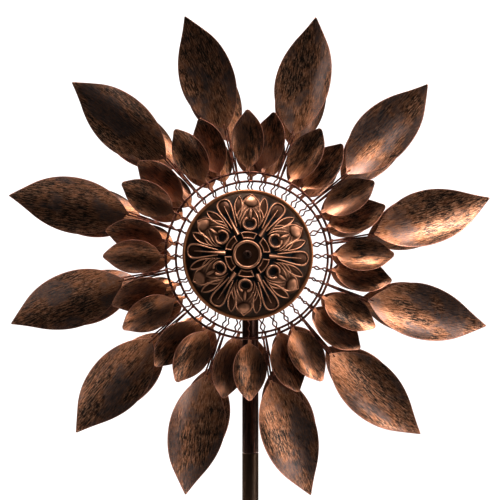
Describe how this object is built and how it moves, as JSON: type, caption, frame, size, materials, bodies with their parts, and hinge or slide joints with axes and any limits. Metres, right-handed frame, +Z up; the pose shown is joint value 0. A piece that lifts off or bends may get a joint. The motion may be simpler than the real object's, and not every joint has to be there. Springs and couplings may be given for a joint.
{
  "type": "kinetic wind sculpture",
  "caption": "Garden wind spinner: two counter-turning rotors of cupped leaf petals around domed medallions, on one axle at the top of a staked pole.",
  "frame": {"origin": "on the pole's axis at ground level, where the centre spike leaves the foot plate", "axes": "+Z up the pole; the rotors' axle runs along Y and the front rotor faces -Y; +X is to the right seen from the front"},
  "size_m": [0.5963, 0.208, 1.8965],
  "materials": {
    "petal_copper": "antique brushed copper over black, satin",
    "medallion_copper": "antique copper over black, rubbed on the raised relief",
    "wire_copper": "antique copper, satin",
    "hub_bronze": "dark bronze, satin",
    "pole_bronze": "dark bronze gloss with copper rub",
    "stake_black": "black powder coat",
    "zinc_steel": "zinc plated",
    "bearing_steel": "ground bearing steel"
  },
  "bodies": {
    "stand": {"stake_spike": "stake_black", "stake_prongs": "stake_black", "stake_plate": "stake_black", "lower_pole": "pole_bronze", "middle_pole": "pole_bronze", "upper_pole": "pole_bronze", "pole_couplers": "zinc_steel", "pole_screws": "zinc_steel", "pole_head": "pole_bronze", "axle": "zinc_steel", "axle_spacers": "zinc_steel", "axle_nuts": "zinc_steel", "bearing_inner_races": "bearing_steel"},
    "front_rotor": {"front_hub": "hub_bronze", "front_hub_cap": "hub_bronze", "front_outer_races": "bearing_steel", "front_bearing_balls": "bearing_steel", "front_medallion": "medallion_copper", "front_medallion_screw": "medallion_copper", "front_ring": "wire_copper", "front_crimped_spokes": "wire_copper", "front_petal_stems": "wire_copper", "front_small_petals_upper": "petal_copper", "front_small_petals_lower": "petal_copper", "front_large_petal_01": "petal_copper", "front_large_petal_02": "petal_copper", "front_large_petal_03": "petal_copper", "front_large_petal_04": "petal_copper", "front_large_petal_05": "petal_copper", "front_large_petal_06": "petal_copper", "front_large_petal_07": "petal_copper", "front_large_petal_08": "petal_copper", "front_large_petal_09": "petal_copper", "front_large_petal_10": "petal_copper", "front_large_petal_11": "petal_copper", "front_large_petal_12": "petal_copper"},
    "rear_rotor": {"rear_hub": "hub_bronze", "rear_hub_cap": "hub_bronze", "rear_outer_races": "bearing_steel", "rear_bearing_balls": "bearing_steel", "rear_medallion": "medallion_copper", "rear_medallion_screw": "medallion_copper", "rear_ring": "wire_copper", "rear_crimped_spokes": "wire_copper", "rear_petal_stems": "wire_copper", "rear_small_petals_upper": "petal_copper", "rear_small_petals_lower": "petal_copper", "rear_large_petal_01": "petal_copper", "rear_large_petal_02": "petal_copper", "rear_large_petal_03": "petal_copper", "rear_large_petal_04": "petal_copper", "rear_large_petal_05": "petal_copper", "rear_large_petal_06": "petal_copper", "rear_large_petal_07": "petal_copper", "rear_large_petal_08": "petal_copper", "rear_large_petal_09": "petal_copper", "rear_large_petal_10": "petal_copper", "rear_large_petal_11": "petal_copper", "rear_large_petal_12": "petal_copper"}
  },
  "joints": [
    {"name": "front_spin", "type": "hinge", "parent": "stand", "child": "front_rotor", "pos_m": [0, -0.055, 1.4], "axis": [0, 1, 0], "continuous": true},
    {"name": "rear_spin", "type": "hinge", "parent": "stand", "child": "rear_rotor", "pos_m": [0, 0.055, 1.4], "axis": [0, -1, 0], "continuous": true}
  ]
}
